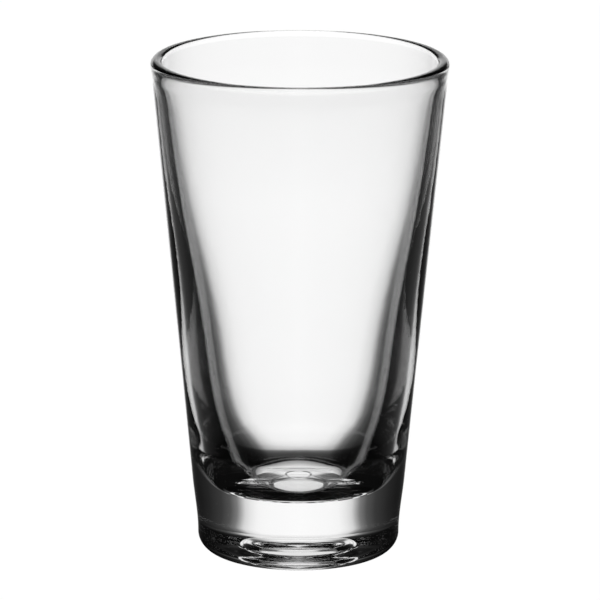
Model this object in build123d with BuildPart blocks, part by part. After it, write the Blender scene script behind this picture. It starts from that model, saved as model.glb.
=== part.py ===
from build123d import *
import os

# Mixing glass: the heavy-based conical tumbler that closes a two-piece cocktail shaker.
# It is one pressed piece of soda-lime glass, so the model has one node.
# Own frame: the origin is the centre of the resting plane and +Z runs up the axis. Millimetres.

# Outside: a straight cone between a tucked-in foot and a fire-polished lip
HEIGHT = 150.0
RIM_RADIUS = 44.25
LIP_THICKNESS = 3.7
NECK_HEIGHT = 144.0
NECK_RADIUS = 43.7
FOOT_HEIGHT = 22.0
FOOT_RADIUS = 31.85
HEEL_RADIUS = 5.4
HEEL_OUTER_RADIUS = 30.15

# Underside: a flat stippled resting ring round a shallow cone with a steep domed punt at its middle
RESTING_RING_INNER = 19.0
PUNT_RADIUS = 11.5
PUNT_EDGE_HEIGHT = 2.5
PUNT_SHOULDER = (9.0, 5.9)
PUNT_HEIGHT = 7.2
STIPPLE_COUNT = 60
STIPPLE_RADIUS = 22.0
STIPPLE_LENGTH = 3.2
STIPPLE_WIDTH = 1.1
STIPPLE_DEPTH = 0.25

# Cavity: the wall thickens all the way down, so the inside is a steeper, slightly bowed cone
CAVITY_WALL = [(39.7, 138.0), (34.9, 102.0), (28.65, 64.5), (24.35, 39.0)]
CAVITY_FOOT = (22.75, 32.7)
FLOOR_RING_RADIUS = 15.1
FLOOR_HEIGHT = 20.0
FLOOR_RING_STEP = 0.3
FLOOR_DISH = 0.7
PLUNGER_MARK_RADIUS = 4.3
PLUNGER_MARK_DEPTH = 0.15

os.makedirs("parts", exist_ok=True)

lip_radius = LIP_THICKNESS / 2
lip_centre = (RIM_RADIUS - lip_radius, HEIGHT - lip_radius)
heel_centre_radius = HEEL_OUTER_RADIUS - HEEL_RADIUS
floor_centre_height = FLOOR_HEIGHT - FLOOR_DISH
wall_direction = (NECK_RADIUS - FOOT_RADIUS, NECK_HEIGHT - FOOT_HEIGHT)
cavity_foot_direction = (CAVITY_FOOT[0] - CAVITY_WALL[-1][0], CAVITY_FOOT[1] - CAVITY_WALL[-1][1])

with BuildPart() as glass:
    with BuildSketch(Plane.XZ) as section:
        with BuildLine() as outline:
            # Underside, from the axis outwards
            crown = TangentArc((0, PUNT_HEIGHT), PUNT_SHOULDER, tangent=(1, 0))
            TangentArc(PUNT_SHOULDER, (PUNT_RADIUS, PUNT_EDGE_HEIGHT), tangent=crown % 1)
            Polyline(
                (PUNT_RADIUS, PUNT_EDGE_HEIGHT),
                (RESTING_RING_INNER, 0),
                (heel_centre_radius, 0),
            )
            # Heel, foot, cone and lip
            heel = RadiusArc((heel_centre_radius, 0), (HEEL_OUTER_RADIUS, HEEL_RADIUS), -HEEL_RADIUS)
            TangentArc(
                (FOOT_RADIUS, FOOT_HEIGHT),
                heel @ 1,
                tangent=(-wall_direction[0], -wall_direction[1]),
            )
            Line((FOOT_RADIUS, FOOT_HEIGHT), (NECK_RADIUS, NECK_HEIGHT))
            Spline(
                (NECK_RADIUS, NECK_HEIGHT),
                (RIM_RADIUS, lip_centre[1]),
                tangents=(wall_direction, (0, 1)),
            )
            lip = CenterArc(lip_centre, lip_radius, 0, 180)
            # Cavity, from the lip down to the axis
            Spline(
                lip @ 1,
                *CAVITY_WALL,
                CAVITY_FOOT,
                tangents=((0, -1), cavity_foot_direction),
            )
            Spline(
                CAVITY_FOOT,
                (FLOOR_RING_RADIUS, FLOOR_HEIGHT + FLOOR_RING_STEP),
                tangents=(cavity_foot_direction, (-1, 0)),
            )
            Line(
                (FLOOR_RING_RADIUS, FLOOR_HEIGHT + FLOOR_RING_STEP),
                (FLOOR_RING_RADIUS - FLOOR_RING_STEP, FLOOR_HEIGHT),
            )
            TangentArc(
                (0, floor_centre_height),
                (FLOOR_RING_RADIUS - FLOOR_RING_STEP, FLOOR_HEIGHT),
                tangent=(1, 0),
            )
            Line((0, floor_centre_height), (0, PUNT_HEIGHT))
        make_face()
    revolve(axis=Axis.Z)
    with BuildSketch(Plane.XY) as stipple:
        with PolarLocations(STIPPLE_RADIUS, STIPPLE_COUNT):
            SlotOverall(STIPPLE_LENGTH, STIPPLE_WIDTH)
    extrude(amount=STIPPLE_DEPTH, mode=Mode.SUBTRACT)
    with BuildSketch(Plane.XY.offset(floor_centre_height - PLUNGER_MARK_DEPTH)) as plunger_mark:
        Circle(PLUNGER_MARK_RADIUS)
    extrude(amount=FLOOR_DISH, mode=Mode.SUBTRACT)

glass.part.label = "glass"
export_step(glass.part, "parts/glass.step")
print(f"glass: {glass.part.volume / 1000:.1f} ml of glass, valid {glass.part.is_valid}")
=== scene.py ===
import math

import bmesh
import bpy
import numpy as np
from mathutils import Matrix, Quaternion, Vector, noise


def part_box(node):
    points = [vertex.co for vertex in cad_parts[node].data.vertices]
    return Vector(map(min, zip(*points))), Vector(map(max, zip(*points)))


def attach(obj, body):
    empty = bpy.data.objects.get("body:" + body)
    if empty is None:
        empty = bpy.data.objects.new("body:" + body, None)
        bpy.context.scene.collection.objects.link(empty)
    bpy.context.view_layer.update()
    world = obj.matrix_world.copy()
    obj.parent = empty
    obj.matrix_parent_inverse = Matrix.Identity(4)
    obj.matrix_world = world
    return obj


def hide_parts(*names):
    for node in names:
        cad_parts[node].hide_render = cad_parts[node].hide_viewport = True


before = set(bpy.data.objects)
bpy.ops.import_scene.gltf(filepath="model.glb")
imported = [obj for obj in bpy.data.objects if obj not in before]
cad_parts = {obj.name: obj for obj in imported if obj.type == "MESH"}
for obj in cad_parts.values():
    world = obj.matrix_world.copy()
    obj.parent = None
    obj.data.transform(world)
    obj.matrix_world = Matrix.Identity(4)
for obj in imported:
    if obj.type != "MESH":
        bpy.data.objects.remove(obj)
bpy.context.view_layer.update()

# A mixing glass on a pale table, lit the way clear glass is lit in a studio: a bright screen stands
# behind it and curves over it, and dark surroundings draw its edges.
# The scene is in metres in the frame of the CAD model. The glass's section is in millimetres.

MM = 0.001
TABLE_GAP = 0.0002
high_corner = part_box("glass")[1]

# ---------------------------------------------------------------------------------------------
# The section of the glass, as (radius, height) in millimetres, from the axis under the base
# round the outside, over the lip and down the cavity to the axis again
# ---------------------------------------------------------------------------------------------

HEIGHT = high_corner[2] / MM
RIM_RADIUS = high_corner[0] / MM
LIP_THICKNESS = 3.7
NECK = (43.7, 144.0)
FOOT = (31.85, 22.0)
HEEL_RADIUS = 5.4
HEEL_OUTER_RADIUS = 30.15

RING_INNER_RADIUS = 19.0
PUNT_RADIUS = 11.5
PUNT_EDGE_HEIGHT = 2.5
PUNT_SHOULDER = (9.0, 5.9)
PUNT_HEIGHT = 7.2
PUNT_ROUNDING = 0.5

CAVITY_WALL = [(39.7, 138.0), (34.9, 102.0), (28.65, 64.5), (24.35, 39.0)]
CAVITY_FOOT = (22.75, 32.7)
# How far the floor's level end reaches into the curve that comes down from the cavity's foot
FLOOR_REACH = 0.49
FLOOR_RING_RADIUS = 15.1
FLOOR_HEIGHT = 20.0
FLOOR_RING_STEP = 0.3
FLOOR_DISH = 0.7
PLUNGER_MARK_RADIUS = 4.3
PLUNGER_MARK_DEPTH = 0.15
PLUNGER_MARK_SLOPE = 0.5
PLUNGER_MARK_ROUNDING = 0.3

# The resting ring's moulded stippling: the band's radii, the width over which it fades in at each
# edge, the size and depth of its dimples, and how much of the band they cover
STIPPLE_BAND = (20.2, 23.8)
STIPPLE_FADE = 0.5
STIPPLE_SIZE = 1.3
STIPPLE_DEPTH = 0.06
STIPPLE_COVER = 0.4
# How high a point can be and still count as on the ring's flat
RING_TOLERANCE = 0.01
# Pressed glass is never quite even: how far its walls wander, over what length, and the heights
# over which that fades in above the floor and out below the rim
WALL_WANDER = 0.01
WALL_WANDER_LENGTH = 18.0
WALL_WANDER_RISE = 20.0
WALL_WANDER_FALL = 12.0

# Steps in a full turn
TURN_STEPS = 480


def unit(vector):
    """The vector made one long."""
    length = math.hypot(*vector)
    return (vector[0] / length, vector[1] / length)


def between(start, end):
    """The vector from start to end."""
    return (end[0] - start[0], end[1] - start[1])


def line(start, end, longest=0.8):
    """Points from start to end, no further apart than longest."""
    steps = max(1, math.ceil(math.dist(start, end) / longest))
    return [
        (start[0] + (end[0] - start[0]) * i / steps, start[1] + (end[1] - start[1]) * i / steps)
        for i in range(steps + 1)
    ]


def arc(centre, radius, start_angle, end_angle, steps):
    """Points along an arc. Angles are in degrees."""
    points = []
    for i in range(steps + 1):
        angle = math.radians(start_angle + (end_angle - start_angle) * i / steps)
        points.append((centre[0] + radius * math.cos(angle), centre[1] + radius * math.sin(angle)))
    return points


def tangent_arc(start, direction, end, steps):
    """Points along the arc that leaves start in a direction and reaches end, and its end direction."""
    chord = unit(between(start, end))
    turn = math.atan2(
        direction[0] * chord[1] - direction[1] * chord[0],
        direction[0] * chord[0] + direction[1] * chord[1],
    )
    radius = math.dist(start, end) / (2 * math.sin(abs(turn)))
    side = math.copysign(1, turn)
    centre = (start[0] - side * radius * direction[1], start[1] + side * radius * direction[0])
    start_angle = math.degrees(math.atan2(start[1] - centre[1], start[0] - centre[0]))
    points = arc(centre, radius, start_angle, start_angle + 2 * math.degrees(turn), steps)
    heading = math.atan2(direction[1], direction[0]) + 2 * turn
    return points, (math.cos(heading), math.sin(heading))


def bend(start, start_tangent, end, end_tangent, steps):
    """A cubic Hermite curve from start to end."""
    points = []
    for i in range(steps + 1):
        t = i / steps
        weights = (2 * t**3 - 3 * t**2 + 1, t**3 - 2 * t**2 + t, 3 * t**2 - 2 * t**3, t**3 - t**2)
        points.append(
            tuple(
                weights[0] * start[k]
                + weights[1] * start_tangent[k]
                + weights[2] * end[k]
                + weights[3] * end_tangent[k]
                for k in range(2)
            )
        )
    return points


def spline(points, start_tangent, end_tangent, steps):
    """A smooth cubic spline through points, with its unit tangents at both ends."""
    points = np.array(points, float)
    lengths = np.hypot(*np.diff(points, axis=0).T)
    knots = np.concatenate([[0.0], np.cumsum(lengths)])
    count = len(points)
    system = np.zeros((count, count))
    right = np.zeros((count, 2))
    slopes = np.diff(points, axis=0) / lengths[:, None]
    system[0, :2] = (2 * lengths[0], lengths[0])
    right[0] = 6 * (slopes[0] - start_tangent)
    for i in range(1, count - 1):
        system[i, i - 1 : i + 2] = (
            lengths[i - 1],
            2 * (lengths[i - 1] + lengths[i]),
            lengths[i],
        )
        right[i] = 6 * (slopes[i] - slopes[i - 1])
    system[-1, -2:] = (lengths[-1], 2 * lengths[-1])
    right[-1] = 6 * (end_tangent - slopes[-1])
    curvature = np.linalg.solve(system, right)
    curve = []
    for s in np.linspace(0, knots[-1], steps + 1):
        i = min(max(int(np.searchsorted(knots, s)) - 1, 0), count - 2)
        h = lengths[i]
        a = (knots[i + 1] - s) / h
        b = (s - knots[i]) / h
        point = a * points[i] + b * points[i + 1]
        point = point + ((a**3 - a) * curvature[i] + (b**3 - b) * curvature[i + 1]) * h * h / 6
        curve.append(tuple(point))
    return curve


def rounded(points, radius, steps=6):
    """A polyline with its inner corners rounded."""
    result = [points[0]]
    for before, corner, after in zip(points, points[1:], points[2:]):
        towards, away = (np.array(unit(between(corner, end))) for end in (before, after))
        angle = math.acos(max(-1.0, min(1.0, float(towards @ away))))
        reach = 0.45 * min(math.dist(before, corner), math.dist(corner, after))
        cut = min(radius / math.tan(angle / 2), reach)
        centre = np.array(corner) + np.array(unit(towards + away)) * (cut / math.cos(angle / 2))
        first, last = (np.array(corner) + side * cut - centre for side in (towards, away))
        start_angle = math.atan2(first[1], first[0])
        turn = (math.atan2(last[1], last[0]) - start_angle + math.pi) % (2 * math.pi) - math.pi
        result += arc(
            centre,
            cut * math.tan(angle / 2),
            math.degrees(start_angle),
            math.degrees(start_angle + turn),
            steps,
        )
    return result + [points[-1]]


def chained(*stretches):
    """The stretches end to end, without doubled points."""
    points = []
    for point in (point for stretch in stretches for point in stretch):
        if not points or math.dist(point, points[-1]) > 1e-4:
            points.append((float(point[0]), float(point[1])))
    return points


def outer_section():
    """From the middle of the underside to the top of the lip's outer half."""
    heel_centre = HEEL_OUTER_RADIUS - HEEL_RADIUS
    punt_edge = (PUNT_RADIUS, PUNT_EDGE_HEIGHT)
    crown, heading = tangent_arc((0, PUNT_HEIGHT), (1, 0), PUNT_SHOULDER, 24)
    shoulder, _ = tangent_arc(PUNT_SHOULDER, heading, punt_edge, 16)
    corners = rounded([shoulder[-2], punt_edge, (RING_INNER_RADIUS, 0), (heel_centre, 0)], PUNT_ROUNDING)
    skirt = chained(*(line(a, b, 0.25) for a, b in zip(corners, corners[1:])))
    underside = chained(crown, shoulder[:-1], skirt)
    heel = arc((heel_centre, HEEL_RADIUS), HEEL_RADIUS, -90, 0, 24)
    wall = unit(between(FOOT, NECK))
    reach = math.dist(heel[-1], FOOT)
    foot = bend(heel[-1], (0, reach), FOOT, (wall[0] * reach, wall[1] * reach), 24)
    lip_centre = (RIM_RADIUS - LIP_THICKNESS / 2, HEIGHT - LIP_THICKNESS / 2)
    reach = math.dist(NECK, (RIM_RADIUS, lip_centre[1]))
    neck = bend(
        NECK, (wall[0] * reach, wall[1] * reach), (RIM_RADIUS, lip_centre[1]), (0, reach), 16
    )
    lip = arc(lip_centre, LIP_THICKNESS / 2, 0, 180, 32)
    return chained(underside, heel, foot, line(FOOT, NECK, 1.5), neck, lip)


def cavity_section(lip_end):
    """From the inside of the lip to the middle of the floor."""
    foot = unit(between(CAVITY_WALL[-1], CAVITY_FOOT))
    wall = spline([lip_end, *CAVITY_WALL, CAVITY_FOOT], (0, -1), foot, 120)
    ring_top = (FLOOR_RING_RADIUS, FLOOR_HEIGHT + FLOOR_RING_STEP)
    reach = math.dist(CAVITY_FOOT, ring_top)
    corner = bend(
        CAVITY_FOOT, (foot[0] * reach, foot[1] * reach), ring_top, (-FLOOR_REACH * reach, 0), 40
    )
    dish_radius = FLOOR_RING_RADIUS - FLOOR_RING_STEP
    mark_share = PLUNGER_MARK_RADIUS / dish_radius
    dish_steps = 20
    shares = [1 - (1 - mark_share) * i / dish_steps for i in range(dish_steps + 1)]
    dish = [(dish_radius * k, FLOOR_HEIGHT - FLOOR_DISH * (1 - k * k)) for k in shares]
    mark_height = FLOOR_HEIGHT - FLOOR_DISH - PLUNGER_MARK_DEPTH
    mark_edge = PLUNGER_MARK_RADIUS - PLUNGER_MARK_SLOPE
    mark = rounded(
        [dish[-2], dish[-1], (mark_edge, mark_height), (0, mark_height)], PLUNGER_MARK_ROUNDING
    )
    return chained(wall, corner, dish[:-1], mark[1:])


def stippled(points):
    """Roughen the resting ring with shallow moulded dimples."""
    inner, outer = STIPPLE_BAND
    for point in points:
        radius = math.hypot(point[0], point[1])
        if point[2] < RING_TOLERANCE and inner < radius < outer:
            fade = min(1.0, (radius - inner) / STIPPLE_FADE, (outer - radius) / STIPPLE_FADE)
            dimple = max(0.0, STIPPLE_COVER + noise.noise(Vector(point) / STIPPLE_SIZE))
            point[2] += fade * STIPPLE_DEPTH * dimple


def wandering(points):
    """Let the walls wander a very little in and out, always inside the true outline."""
    for point in points:
        rise = (point[2] - FLOOR_HEIGHT) / WALL_WANDER_RISE
        fall = (HEIGHT - point[2]) / WALL_WANDER_FALL
        share = min(1.0, rise, fall)
        if share > 0:
            wander = noise.noise(Vector(point) / WALL_WANDER_LENGTH) - 1
            point[:2] *= 1 + share * WALL_WANDER * wander / math.hypot(point[0], point[1])


def turned(name, section):
    """A mesh of the section turned about Z. The section starts and ends on the axis."""
    angles = np.arange(TURN_STEPS) * 2 * math.pi / TURN_STEPS
    rings = np.array(section[1:-1])
    around = np.stack([np.cos(angles), np.sin(angles)], axis=1)
    points = np.concatenate(
        [
            rings[:, None, :1] * around[None],
            np.broadcast_to(rings[:, None, 1:], (len(rings), TURN_STEPS, 1)),
        ],
        axis=2,
    ).reshape(-1, 3)
    bottom, top = len(points), len(points) + 1
    stippled(points)
    wandering(points)
    points = np.concatenate([points, [(0, 0, section[0][1]), (0, 0, section[-1][1])]])
    faces = []
    for k in range(TURN_STEPS):
        after = (k + 1) % TURN_STEPS
        faces.append((bottom, after, k))
        last = (len(rings) - 1) * TURN_STEPS
        faces.append((last + k, last + after, top))
        for i in range(len(rings) - 1):
            here, above = i * TURN_STEPS, (i + 1) * TURN_STEPS
            faces.append((here + k, here + after, above + after, above + k))
    mesh = bpy.data.meshes.new(name)
    mesh.from_pydata((points * MM).tolist(), [], faces)
    mesh.polygons.foreach_set("use_smooth", [True] * len(mesh.polygons))
    mesh.update()
    piece = bpy.data.objects.new(name, mesh)
    bpy.context.scene.collection.objects.link(piece)
    return piece


# ---------------------------------------------------------------------------------------------
# Materials
# ---------------------------------------------------------------------------------------------


def clear_glass():
    """Clear soda-lime glass: faintly uneven in its polish, with shallow ripples from the mould."""
    material = bpy.data.materials.new("clear_glass")
    material.use_nodes = True
    tree = material.node_tree
    shader = tree.nodes["Principled BSDF"]
    shader.inputs["Base Color"].default_value = (0.995, 0.995, 0.995, 1)
    shader.inputs["Transmission Weight"].default_value = 1.0
    shader.inputs["IOR"].default_value = 1.52
    place = tree.nodes.new("ShaderNodeTexCoord")
    polish = tree.nodes.new("ShaderNodeTexNoise")
    polish.inputs["Scale"].default_value = 90.0
    polish.inputs["Detail"].default_value = 3.0
    tree.links.new(place.outputs["Object"], polish.inputs["Vector"])
    roughness = tree.nodes.new("ShaderNodeMapRange")
    roughness.inputs["From Min"].default_value = 0.45
    roughness.inputs["From Max"].default_value = 0.75
    roughness.inputs["To Min"].default_value = 0.0
    roughness.inputs["To Max"].default_value = 0.015
    tree.links.new(polish.outputs["Fac"], roughness.inputs["Value"])
    tree.links.new(roughness.outputs["Result"], shader.inputs["Roughness"])
    ripple = tree.nodes.new("ShaderNodeTexNoise")
    ripple.inputs["Scale"].default_value = 220.0
    ripple.inputs["Detail"].default_value = 1.0
    tree.links.new(place.outputs["Object"], ripple.inputs["Vector"])
    bump = tree.nodes.new("ShaderNodeBump")
    bump.inputs["Strength"].default_value = 1.0
    bump.inputs["Distance"].default_value = 0.000006
    tree.links.new(ripple.outputs["Fac"], bump.inputs["Height"])
    tree.links.new(bump.outputs["Normal"], shader.inputs["Normal"])
    body = tree.nodes.new("ShaderNodeVolumeAbsorption")
    body.inputs["Color"].default_value = (0, 0, 0, 1)
    body.inputs["Density"].default_value = 1.2
    tree.links.new(body.outputs["Volume"], tree.nodes["Material Output"].inputs["Volume"])
    return material


def table_top():
    """Matt and nearly white."""
    material = bpy.data.materials.new("pale_table")
    material.use_nodes = True
    shader = material.node_tree.nodes["Principled BSDF"]
    shader.inputs["Base Color"].default_value = (0.97, 0.97, 0.97, 1)
    shader.inputs["Roughness"].default_value = 0.9
    shader.inputs["Specular IOR Level"].default_value = 0.0
    return material


# ---------------------------------------------------------------------------------------------
# The studio
# ---------------------------------------------------------------------------------------------

# The even light on the table and the background, and the table's half width in metres
ROOM_BRIGHTNESS = 1.04
TABLE_HALF_WIDTH = 6.0
# What the glass sees round it: the screen's brightness by azimuth from straight behind the glass,
# and how much the screen narrows with elevation above the table. Both angles are in degrees.
SCREEN_EDGE = [
    (0, 1.0), (10, 0.97), (13.5, 0.94), (16.5, 0.82), (19, 0.67), (21, 0.4), (23, 0.2),
    (25, 0.14), (27, 0.085), (33, 0.042), (38, 0.032), (45, 0.02), (58, 0.011), (80, 0.004),
]
SCREEN_NARROWING = [(0, 0.77), (5, 0.85), (10, 1.5), (20, 1.5), (30, 1.7), (60, 1.85)]
# How bright the screen is as it rises and curves over the glass, by elevation in degrees
SCREEN_HEIGHT = [(0, 0.8), (8, 0.95), (15, 0.6), (25, 1.0), (35, 0.75), (45, 1.0), (60, 0.8), (75, 0.65)]
SCREEN_BRIGHTNESS = 1.14
# How bright the room is away from the screen, and the radius of it all in metres
DARKEST = 0.002
DOME_RADIUS = 8.0
# The lit table as painted light, with a painted shadow near the glass, by distance from the middle
# of the glass, in millimetres, how many degrees its light draws in near the glass, and how far under the
# table top the glass sees it
TABLE_START = [
    (50, 0.012), (76, 0.08), (82, 0.18), (86, 0.6), (91, 0.72), (96, 0.88), (106, 1.0),
    (450, 1.0), (800, 0.91),
]
TABLE_DRAWING_IN = [(80, 6.0), (110, 3.5), (150, 0.0)]
TABLE_DEPTH = 25.0
# The oval of light under the base, in millimetres: its centre in Y, half width and half depth
POOL = (11.5, 19.5, 21.5)
POOL_EDGE = [(0.75, 1.0), (1.0, 0.0)]
POOL_BRIGHTNESS = 0.86


def curve_node(tree, value, stops, low, high):
    """A value looked up between (place, value) stops, with places from low to high."""
    spread = tree.nodes.new("ShaderNodeMapRange")
    spread.inputs["From Min"].default_value = low
    spread.inputs["From Max"].default_value = high
    tree.links.new(value, spread.inputs["Value"])
    ramp = tree.nodes.new("ShaderNodeValToRGB")
    elements = ramp.color_ramp.elements
    while len(elements) < len(stops):
        elements.new(0.5)
    for element, (place, _) in zip(elements, stops):
        element.position = (place - low) / (high - low)
    for element, (_, brightness) in zip(elements, stops):
        element.color = (brightness, brightness, brightness, 1)
    tree.links.new(spread.outputs["Result"], ramp.inputs["Fac"])
    return ramp.outputs["Color"]


def maths(tree, operation, *values):
    """The result of a sum on numbers or sockets."""
    node = tree.nodes.new("ShaderNodeMath")
    node.operation = operation
    for socket, value in zip(node.inputs, values):
        if isinstance(value, (int, float)):
            socket.default_value = value
        else:
            tree.links.new(value, socket)
    return node.outputs[0]


def position_in(tree):
    """The X, Y and Z of a point in its object's own frame."""
    place = tree.nodes.new("ShaderNodeTexCoord")
    parts = tree.nodes.new("ShaderNodeSeparateXYZ")
    tree.links.new(place.outputs["Object"], parts.inputs[0])
    return parts.outputs


def distance(tree, x, y):
    """How far a point is from its object's Z axis."""
    square = maths(tree, "ADD", maths(tree, "MULTIPLY", x, x), maths(tree, "MULTIPLY", y, y))
    return maths(tree, "SQRT", square)


def azimuth_of(tree, x, y):
    """Degrees from straight behind the glass, to either side."""
    return maths(tree, "ABSOLUTE", maths(tree, "DEGREES", maths(tree, "ARCTAN2", x, y)))


def luminous(name):
    """A material that only shines, with its nodes: the tree, the light and the output."""
    material = bpy.data.materials.new(name)
    material.use_nodes = True
    material.cycles.emission_sampling = "NONE"
    tree = material.node_tree
    tree.nodes.clear()
    light = tree.nodes.new("ShaderNodeEmission")
    light.inputs["Color"].default_value = (1, 1, 1, 1)
    output = tree.nodes.new("ShaderNodeOutputMaterial")
    tree.links.new(light.outputs["Emission"], output.inputs["Surface"])
    return material, tree, light, output


def dome_light():
    """The screen that stands behind the glass and curves over it, and the dark room round it."""
    material, tree, light, _ = luminous("dome_light")
    x, y, z = position_in(tree)
    elevation = maths(tree, "DEGREES", maths(tree, "ARCSINE", maths(tree, "DIVIDE", z, DOME_RADIUS)))
    narrowing = curve_node(tree, elevation, SCREEN_NARROWING, 0, 90)
    azimuth = maths(tree, "MULTIPLY", azimuth_of(tree, x, y), narrowing)
    edge = maths(tree, "MULTIPLY", curve_node(tree, azimuth, SCREEN_EDGE, 0, 180), SCREEN_BRIGHTNESS)
    brightness = maths(tree, "MULTIPLY", edge, curve_node(tree, elevation, SCREEN_HEIGHT, 0, 90))
    tree.links.new(maths(tree, "MAXIMUM", brightness, DARKEST), light.inputs["Strength"])
    return material


def table_light():
    """The table in front of the screen as the glass sees it, painted as light, with a painted shadow
    dark round the glass itself.
    """
    material, tree, light, _ = luminous("table_light")
    x, y, _ = position_in(tree)
    radius = maths(tree, "DIVIDE", distance(tree, x, y), MM)
    # Painted light of the table, dark near the glass as a painted shadow
    start = curve_node(tree, radius, TABLE_START, 0, 1000)
    drawing_in = curve_node(tree, radius, TABLE_DRAWING_IN, 0, 200)
    azimuth = maths(tree, "ADD", azimuth_of(tree, x, y), drawing_in)
    edge = maths(tree, "MULTIPLY", curve_node(tree, azimuth, SCREEN_EDGE, 0, 180), SCREEN_BRIGHTNESS)
    brightness = maths(tree, "MULTIPLY", edge, start)
    tree.links.new(maths(tree, "MAXIMUM", brightness, DARKEST), light.inputs["Strength"])
    return material


def pool_light():
    """An oval of light that fades out towards the edge of a square two units across."""
    material, tree, light, output = luminous("pool_light")
    x, y, _ = position_in(tree)
    light.inputs["Strength"].default_value = POOL_BRIGHTNESS
    clear = tree.nodes.new("ShaderNodeBsdfTransparent")
    mix = tree.nodes.new("ShaderNodeMixShader")
    tree.links.new(curve_node(tree, distance(tree, x, y), POOL_EDGE, 0, 1), mix.inputs["Fac"])
    tree.links.new(clear.outputs["BSDF"], mix.inputs[1])
    tree.links.new(light.outputs["Emission"], mix.inputs[2])
    tree.links.new(mix.outputs["Shader"], output.inputs["Surface"])
    return material


def for_glass_only(name, mesh, material):
    """A luminous surface that only the glass sees, by refraction and reflection."""
    mesh.materials.append(material)
    surface = bpy.data.objects.new(name, mesh)
    bpy.context.scene.collection.objects.link(surface)
    surface.visible_camera = False
    surface.visible_diffuse = False
    surface.visible_shadow = False
    return surface


def dome():
    """The room round the glass."""
    shape = bmesh.new()
    bmesh.ops.create_uvsphere(shape, u_segments=128, v_segments=64, radius=DOME_RADIUS)
    mesh = bpy.data.meshes.new("dome")
    shape.to_mesh(mesh)
    shape.free()
    return for_glass_only("dome", mesh, dome_light())


def level_square(name, half_width):
    corners = [(-1, -1), (1, -1), (1, 1), (-1, 1)]
    mesh = bpy.data.meshes.new(name)
    mesh.from_pydata([(x * half_width, y * half_width, 0) for x, y in corners], [], [(0, 1, 2, 3)])
    return mesh


def lit_table():
    """The table as the glass sees it, painted as light with a painted shadow round the glass."""
    shape = bmesh.new()
    bmesh.ops.create_circle(shape, cap_ends=True, segments=128, radius=DOME_RADIUS)
    mesh = bpy.data.meshes.new("lit_table")
    shape.to_mesh(mesh)
    shape.free()
    surface = for_glass_only("lit_table", mesh, table_light())
    surface.location.z = -TABLE_DEPTH * MM
    return surface


def pool():
    """The light that the glass gathers under its base."""
    centre, half_width, half_depth = (length * MM for length in POOL)
    surface = for_glass_only("pool", level_square("pool", 1.0), pool_light())
    surface.location = (0, centre, -TABLE_GAP)
    surface.scale = (half_width, half_depth, 1)
    return surface


def table():
    """The table as the camera sees it. The glass sees the painted lit table instead."""
    mesh = level_square("table", TABLE_HALF_WIDTH)
    mesh.materials.append(table_top())
    floor = bpy.data.objects.new("table", mesh)
    bpy.context.scene.collection.objects.link(floor)
    floor.location.z = -TABLE_GAP
    floor.visible_glossy = False
    floor.visible_transmission = False


def room_light():
    """Even white light, which the table and the background show."""
    world = bpy.data.worlds.new("room")
    bpy.context.scene.world = world
    world.use_nodes = True
    background = world.node_tree.nodes["Background"]
    background.inputs["Color"].default_value = (1, 1, 1, 1)
    background.inputs["Strength"].default_value = ROOM_BRIGHTNESS


# ---------------------------------------------------------------------------------------------
# The camera
# ---------------------------------------------------------------------------------------------

CAMERA_DISTANCE = 1.8
CAMERA_ELEVATION = 13.85
CAMERA_ROLL = 0.215
CAMERA_LENS = 362.1
SENSOR = 36.0
AIM = (0.00024, 0.0, 0.07647)
# Light goes in and out of the thick base many times before it reaches the camera
LIGHT_BOUNCES = 24


def camera():
    """In front of the glass on the -Y side, looking slightly down."""
    data = bpy.data.cameras.new("camera")
    data.sensor_width = SENSOR
    data.lens = CAMERA_LENS
    data.clip_end = 50.0
    item = bpy.data.objects.new("camera", data)
    bpy.context.scene.collection.objects.link(item)
    tilt = math.radians(CAMERA_ELEVATION)
    ahead = Vector((0, math.cos(tilt), -math.sin(tilt)))
    item.location = Vector(AIM) - ahead * CAMERA_DISTANCE
    item.rotation_mode = "QUATERNION"
    item.rotation_quaternion = ahead.to_track_quat("-Z", "Y") @ Quaternion(
        (0, 0, 1), math.radians(CAMERA_ROLL)
    )
    bpy.context.scene.camera = item
    return item


def turntable(target):
    """An empty that keeps its -Y side towards the camera, so that the studio goes round with it."""
    pivot = bpy.data.objects.new("studio_turn", None)
    bpy.context.scene.collection.objects.link(pivot)
    turn = pivot.constraints.new("LOCKED_TRACK")
    turn.target = target
    turn.track_axis = "TRACK_NEGATIVE_Y"
    turn.lock_axis = "LOCK_Z"
    return pivot


# ---------------------------------------------------------------------------------------------
# The scene
# ---------------------------------------------------------------------------------------------

outer = outer_section()
glass = turned("mixing_glass", chained(outer, cavity_section(outer[-1])))
glass.data.materials.append(clear_glass())
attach(glass, "root")
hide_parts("glass")
glass.visible_shadow = False
glass.visible_diffuse = False

room_light()
table()
turn = turntable(camera())
for surface in (dome(), lit_table(), pool()):
    surface.parent = turn

bpy.context.scene.view_settings.view_transform = "Standard"
bpy.context.scene.cycles.max_bounces = LIGHT_BOUNCES
bpy.context.scene.cycles.glossy_bounces = LIGHT_BOUNCES
bpy.context.scene.cycles.transmission_bounces = LIGHT_BOUNCES
